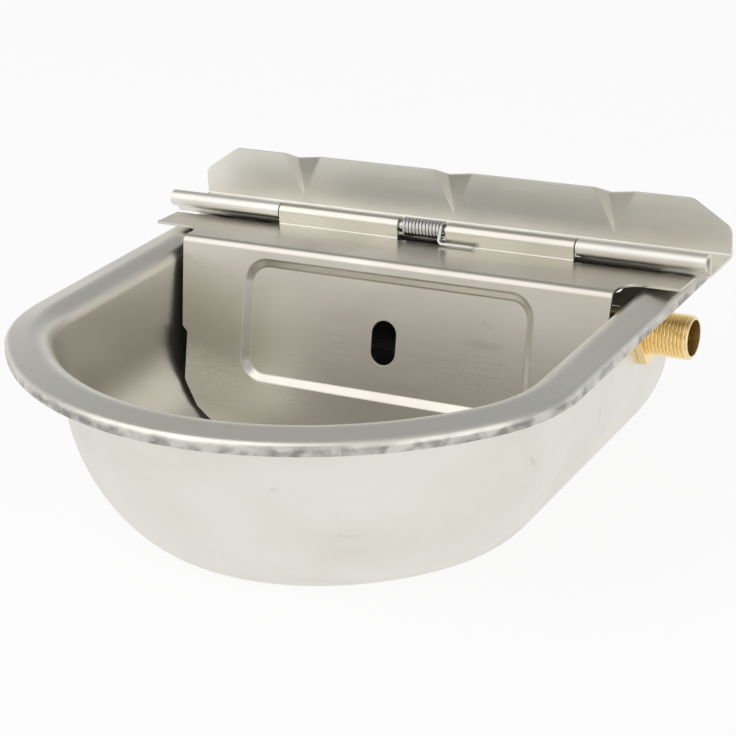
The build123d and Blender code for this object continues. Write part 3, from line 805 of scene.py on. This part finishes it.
def bowl_skin():
    """Grid of points over the walls and the lip, with the row count before the lip and over it.

    Distance outside the inner skin and height are the full lip's times the fade, plus the plain
    edge's times the rest.
    """
    fade = plan_fade()[None, :]
    angle = np.linspace(math.pi / 2, 0, curve_rows)
    height = np.linspace(turn_height, shoulder_height, straight_rows)[1:-1]
    full, plain = lip_rows()
    lip = np.zeros((len(full), 6))
    lip[:, 2] = bowl_sheet
    first = np.concatenate([floor_rows(angle, 0), wall_rows(height, 0)])
    last = np.concatenate([wall_rows(height[::-1], bowl_sheet), floor_rows(angle[::-1], bowl_sheet)])
    rows = np.concatenate([first, lip, last])
    grow = np.repeat(rows[:, 4:5], fade.shape[1], axis=1)
    level = np.repeat(rows[:, 5:6], fade.shape[1], axis=1)
    over_lip = slice(len(first), len(first) + len(lip))
    grow[over_lip] = full[:, :1] * fade + plain[:, :1] * (1 - fade)
    level[over_lip] = full[:, 1:] * fade + plain[:, 1:] * (1 - fade)
    x, y = plans(rows[:, 0:1], rows[:, 1:2], rows[:, 2:3], rows[:, 3:4], grow)
    return np.stack([x, y, level], axis=-1), len(first), len(lip)


def bowl_surface():
    """Points and faces of the bowl, with each point's place over the lip.

    The skins are closed by two floors. A floor is its edge drawn in towards the middle in a few
    rings and closed on one point. Place over the lip is the row counted from the lip's first row,
    as a share of the lip's rows: 0 to 1 on the lip, below or above elsewhere.
    """
    skin, rows_before, rows_over = bowl_skin()
    middle = np.array([0, skin[0, :, 1].mean()])

    def drawn_in(edge):
        rings = np.repeat(edge[None], len(floor_rings), axis=0)
        rings[..., :2] = middle + (edge[None, :, :2] - middle) * floor_rings[:, None, None]
        return rings

    grid = np.concatenate([drawn_in(skin[0]), skin, drawn_in(skin[-1])[::-1]])
    row_count, column_count = grid.shape[:2]
    count = row_count * column_count
    points = np.concatenate([
        grid.reshape(-1, 3),
        [[*middle, skin[0, 0, 2]], [*middle, skin[-1, 0, 2]]],
    ])
    columns = np.arange(column_count)
    beside = np.roll(columns, -1)
    end = count - column_count
    faces = grid_faces(row_count, column_count).tolist()
    faces += np.stack([beside, columns, np.full_like(columns, count)], axis=1).tolist()
    faces += np.stack([columns + end, beside + end, np.full_like(columns, count + 1)], axis=1).tolist()
    ring_of = np.repeat(np.arange(row_count), column_count)
    place = (ring_of - len(floor_rings) - rows_before) / rows_over
    return points, faces, np.append(place, [-1.0, -1.0])


# %% Pressed bowl
upright = (1.0, 1.0, 0.08)
bowl_steel = metal("bowl_steel", (0.80, 0.785, 0.725), (0.745, 0.72, 0.655), 0.34, upright, 500.0)
points, faces, lip_share = bowl_surface()
bowl = make_object("pressed_bowl", points, faces, bowl_steel, lip_share=lip_share)
print("bowl", len(bowl.data.vertices), "points")

# %% [markdown]
# The lip's turned edge is what buckets and chains knock against. The surface keeps, at each point,
# how far over the lip it lies, and the finish uses that to darken the turn between the start of the
# roll and the sheet's edge: a painted shade that runs unbroken along the roll's lower turn, with dark
# scuffs from a broken noise on top of it.

# %% Scuffs and painted shade on the lip
roll_from, roll_full = 0.33, 0.42
edge_from, edge_end = 0.50, 0.56
scuff_scale, scuff_stretch = 110.0, (1, 1, 1.4)
# The least share below is painted shade: it keeps an unbroken dark line along the roll, where the lip
# turns under.
scuff_from, scuff_full, painted_shade_least = 0.40, 0.62, 0.30
scuff_and_shade_share = 0.85
scuff_and_shade_tint = (0.20, 0.19, 0.18)

tree = bowl_steel.node_tree
bare_colour = tree.nodes["Principled BSDF"].inputs["Base Color"].links[0].from_socket
here = add(tree, "ShaderNodeTexCoord").outputs["Object"]
over_lip = add(tree, "ShaderNodeAttribute", attribute_name="lip_share").outputs["Fac"]
roll_on = spread(tree, over_lip, roll_from, roll_full, 0.0, 1.0)
roll_off = spread(tree, over_lip, edge_from, edge_end, 1.0, 0.0)
blotches = noise(tree, here, scuff_scale, scuff_stretch, detail=6.0, distortion=0.4)
scuffs_over_shade = spread(tree, blotches, scuff_from, scuff_full, painted_shade_least, 1.0)
shade_and_scuffs = combine(tree, "MULTIPLY", combine(tree, "MULTIPLY", roll_on, roll_off), scuffs_over_shade)
# This darkens the base colour with painted shade along the turn, and with real scuffs where the noise is
# high.
scuffed_and_shaded = blend_tint(tree, combine(tree, "MULTIPLY", shade_and_scuffs, scuff_and_shade_share), bare_colour, scuff_and_shade_tint)
tree.links.new(scuffed_and_shaded, tree.nodes["Principled BSDF"].inputs["Base Color"])
print("bowl finish:", len(tree.nodes), "nodes")

# %% [markdown]
# The two wall fixings and the inlet pass through holes. A hole in a grid is awkward, so the holes
# are cut afterwards with round cutters, which is how the real ones are punched too.

# %% Cutters
any_slant = (0.3, 0.5, 0.8)


def cylinder(name, start, end, radius, count=48):
    """A closed cylinder between two points: rings of cosine and sine about the axis, and caps.

    The slanting direction only has to differ from the axis; it starts the two directions across.
    """
    axis = np.array(end) - np.array(start)
    axis = axis / np.linalg.norm(axis)
    side = np.cross(axis, any_slant)
    side = side / np.linalg.norm(side)
    other = np.cross(axis, side)
    angle = np.linspace(0, 2 * math.pi, count, endpoint=False)[:, None]
    ring = radius * (side * np.cos(angle) + other * np.sin(angle))
    points = np.concatenate([ring + start, ring + end])
    faces = grid_faces(2, count).tolist() + [list(range(count)), list(range(count, 2 * count))]
    return make_object(name, points, faces, bowl_steel)


def punch(piece, cutters):
    """Cuts the cutters out of the piece, bakes the result into its mesh and removes the cutters."""
    for cutter in cutters:
        cut = piece.modifiers.new("cut", "BOOLEAN")
        cut.object = cutter
        cut.operation = "DIFFERENCE"
        cut.solver = "EXACT"
    bpy.context.view_layer.update()
    shown = piece.evaluated_get(bpy.context.evaluated_depsgraph_get())
    punched = bpy.data.meshes.new_from_object(shown)
    piece.modifiers.clear()
    piece.data = punched
    punched.name = piece.name
    for cutter in cutters:
        bpy.data.objects.remove(cutter)


# %% Punch the holes
fixing_half, fixing_radius = 86.0 * MM, 4.5 * MM
inlet_hole = 10.78 * MM
reach = 3 * MM
gasket_low, gasket_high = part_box("inlet_gasket")
inlet_y = (gasket_low.y + gasket_high.y) / 2
inlet_z = (gasket_low.z + gasket_high.z) / 2
drills = [
    cylinder(f"drill_{x:+}", (x * fixing_half, -reach, 0), (x * fixing_half, reach, 0), fixing_radius)
    for x in (-1, 1)
]
drills.append(cylinder(
    "drill_inlet",
    (inner_half - reach, inlet_y, inlet_z),
    (inner_half + reach, inlet_y, inlet_z),
    inlet_hole,
))
punch(bowl, drills)
bowl.data.set_sharp_from_angle(angle=math.radians(crisp_degrees))
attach(bowl, "bowl_body")
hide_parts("bowl")
print("bowl punched:", len(bowl.data.polygons), "faces")

# %% [markdown]
# ## The pipe thread
# The inlet is a half-inch pipe thread. A thread is a surface of two parameters, the angle and the
# distance along the axis: the radius rises and falls with the distance, and the whole wave is shifted
# by one pitch for each turn. The plain valve body keeps its inner half; its outer half is cut away
# inside the lock nut and replaced by this surface, closed by the bore and the two ends.

# %% Thread
thread_pitch = 1.814 * MM
thread_depth = 1.16 * MM
crest_radius = 10.4775 * MM
bore_radius = 8.3 * MM
wave_gain = 1.15
end_chamfer, chamfer_slope = 1.1 * MM, 1.2
mouth_ease, bore_ease = 0.35 * MM, 0.2 * MM
cut_inside = 1.0 * MM
bore_rows, thread_crisp = 6, 50.0
valve_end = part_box("valve_body")[1].x
cut_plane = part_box("lock_nut")[1].x - cut_inside


def thread_surface(around=72, steps_per_pitch=12):
    """Radius = crest less the depth times a rounded wave of distance less pitch times turns.

    The wave is stretched a little past its ends and held there, which leaves a small flat on each
    crest and root. The end is eased down by a chamfer, and the bore and the end rings close the
    piece.
    """
    length = valve_end - cut_plane
    along = np.linspace(0, length, int(length / thread_pitch * steps_per_pitch))[:, None]
    angle = np.linspace(0, 2 * math.pi, around, endpoint=False)[None, :]
    phase = along / thread_pitch - angle / (2 * math.pi)
    wave = 0.5 - 0.5 * np.cos(2 * math.pi * phase)
    wave = smoothstep(wave * wave_gain - (wave_gain - 1) / 2)
    chamfered = crest_radius - np.clip(along - (length - end_chamfer), 0, None) * chamfer_slope
    radius = np.minimum(crest_radius - thread_depth * wave, chamfered)
    bore = np.linspace(length, 0, bore_rows)[:, None]
    bore_radii = np.full((len(bore), around), bore_radius)
    bore_radii[0] += bore_ease
    mouth_radii = np.full((1, around), bore_radius + mouth_ease)
    stations = np.concatenate([along, bore[:1], bore])
    radii = np.concatenate([radius, mouth_radii, bore_radii])
    x = cut_plane + stations + 0 * angle
    grid = np.stack([x, inlet_y + radii * np.cos(angle), inlet_z + radii * np.sin(angle)], axis=-1)
    first = np.arange(around)
    last = first + (grid.shape[0] - 1) * around
    faces = grid_faces(*grid.shape[:2]).tolist()
    faces += np.stack([np.roll(first, -1), first, last, np.roll(last, -1)], axis=1).tolist()
    return grid.reshape(-1, 3), faces


points, faces = thread_surface()
thread = make_object("inlet_thread", points, faces, brass, crisp=thread_crisp)
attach(thread, "bowl_body")
print("thread", len(thread.data.polygons), "faces")

# %% [markdown]
# What is left of the plain body is cut off square inside the nut. The cut leaves two loops of edges,
# the outside and the bore, and a bridge between them closes the piece again.

# %% Inner half of the valve body
work = welded_copy("valve_body")
geometry = list(work.verts) + list(work.edges) + list(work.faces)
cut = bmesh.ops.bisect_plane(
    work, geom=geometry, plane_co=(cut_plane, 0, 0), plane_no=(1, 0, 0), clear_outer=True)
rim = [part for part in cut["geom_cut"] if isinstance(part, bmesh.types.BMEdge)]
bmesh.ops.bridge_loops(work, edges=rim)
bmesh.ops.recalc_face_normals(work, faces=work.faces)
stand_in("inlet_body", work, "valve_body", "bowl_body", brass, cut_edge)

# %% [markdown]
# ## The spring
# The cover is held shut by a torsion spring: a close coil round the pin whose two ends run straight
# on, drop to the sheets and turn along them. The wire's route is four plain forms, a helix with a
# straight drop, a round bend and a straight leg at each end, and a tube is carried along it. At each
# point the tube needs two directions across the wire. On the coil one of them is square to the pin,
# and the legs keep the one they left the coil with, made square to the wire again.

# %% Spring sizes
wire_radius = 0.875 * MM
pin_radius = 2.5 * MM
coil_play = 0.35 * MM
coil_radius = pin_radius + coil_play + wire_radius
spring_turns = 11 + 120 / 360
spring_pitch = 1.84 * MM
leaves_at = math.radians(30)
leg_length = 19.0 * MM
bend_radius = 2.2 * MM
plate_sheet = 1.5 * MM
foot_gap, foot_step = 0.4 * MM, 1.2 * MM
wire_crisp = 60.0
hinge = next(joint for joint in frame["record"]["behaviour"]["joints"] if joint["name"] == "cover_hinge")
pin_y, pin_z = hinge["pos_m"][1:]
rear_foot = rim_height + plate_sheet + wire_radius + foot_gap
front_foot = rear_foot + foot_step
print("wire's height on the shelf", round(rear_foot, 5), "and on the cover", round(front_foot, 5))

# %% Spring
leg_steps, leg_start, bend_steps = 8, 0.08, 10
tip_ease = 0.6


def leg_route(start, ahead, towards, foot_z):
    """A straight drop from the coil, a quarter bend and a run along the pin, towards -X or +X.

    The drop heads for the foot's height and turns one bend radius before it. The bend is the
    corner, moved back along the drop by the radius times one minus the sine of an angle, and on
    along the pin by the radius times one minus its cosine.
    """
    drop = (start[2] - foot_z) / -ahead[2]
    corner = start + ahead * drop
    sideways = np.array([towards, 0.0, 0.0])
    share = np.linspace(leg_start, 1, leg_steps)[:, None]
    fall = start + ahead * (drop - bend_radius) * share
    turned = np.linspace(0, math.pi / 2, bend_steps)[1:, None]
    back_off, move_on = 1 - np.sin(turned), 1 - np.cos(turned)
    bend = corner - ahead * bend_radius * back_off + sideways * bend_radius * move_on
    rest = corner + sideways * (bend_radius + (leg_length - bend_radius) * share)
    return np.concatenate([fall, bend, rest])


def spring_surface(around=14, steps_per_turn=36):
    """A tube along the wire: each ring is the point plus the wire's radius times cosine of an angle
    across one direction and sine of it across the other."""
    rise = spring_pitch * spring_turns
    share = np.linspace(0, 1, int(spring_turns * steps_per_turn))
    angle = leaves_at + 2 * math.pi * spring_turns * share
    coil = np.stack([
        -rise / 2 + rise * share,
        pin_y + coil_radius * np.cos(angle),
        pin_z + coil_radius * np.sin(angle),
    ], axis=1)
    tangent = np.stack([0 * angle, -np.sin(angle), np.cos(angle)], axis=1)
    behind = leg_route(coil[0], -tangent[0], -1.0, rear_foot)
    front = leg_route(coil[-1], tangent[-1], 1.0, front_foot)
    route = np.concatenate([behind[::-1], coil, front])
    ahead = np.gradient(route, axis=0)
    ahead /= np.linalg.norm(ahead, axis=1, keepdims=True)
    across = np.cross(tangent, [1.0, 0.0, 0.0])
    across = np.concatenate([
        np.repeat(across[:1], len(behind), axis=0),
        across,
        np.repeat(across[-1:], len(front), axis=0),
    ])
    across -= ahead * np.sum(across * ahead, axis=1, keepdims=True)
    across /= np.linalg.norm(across, axis=1, keepdims=True)
    other = np.cross(ahead, across)
    ring = np.linspace(0, 2 * math.pi, around, endpoint=False)[None, :, None]
    circle = across[:, None] * np.cos(ring) + other[:, None] * np.sin(ring)
    ease = np.ones((len(route), 1, 1))
    ease[[0, -1]] = tip_ease
    grid = route[:, None] + wire_radius * ease * circle
    faces = grid_faces(*grid.shape[:2]).tolist()
    last = (grid.shape[0] - 1) * around
    faces += [list(range(around)), list(range(last, last + around))]
    return grid.reshape(-1, 3), faces


points, faces = spring_surface()
spring = make_object("spring_wire", points, faces, rod_steel, crisp=wire_crisp)
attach(spring, "bowl_body")
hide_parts("cover_spring")
print("spring", len(spring.data.polygons), "faces")
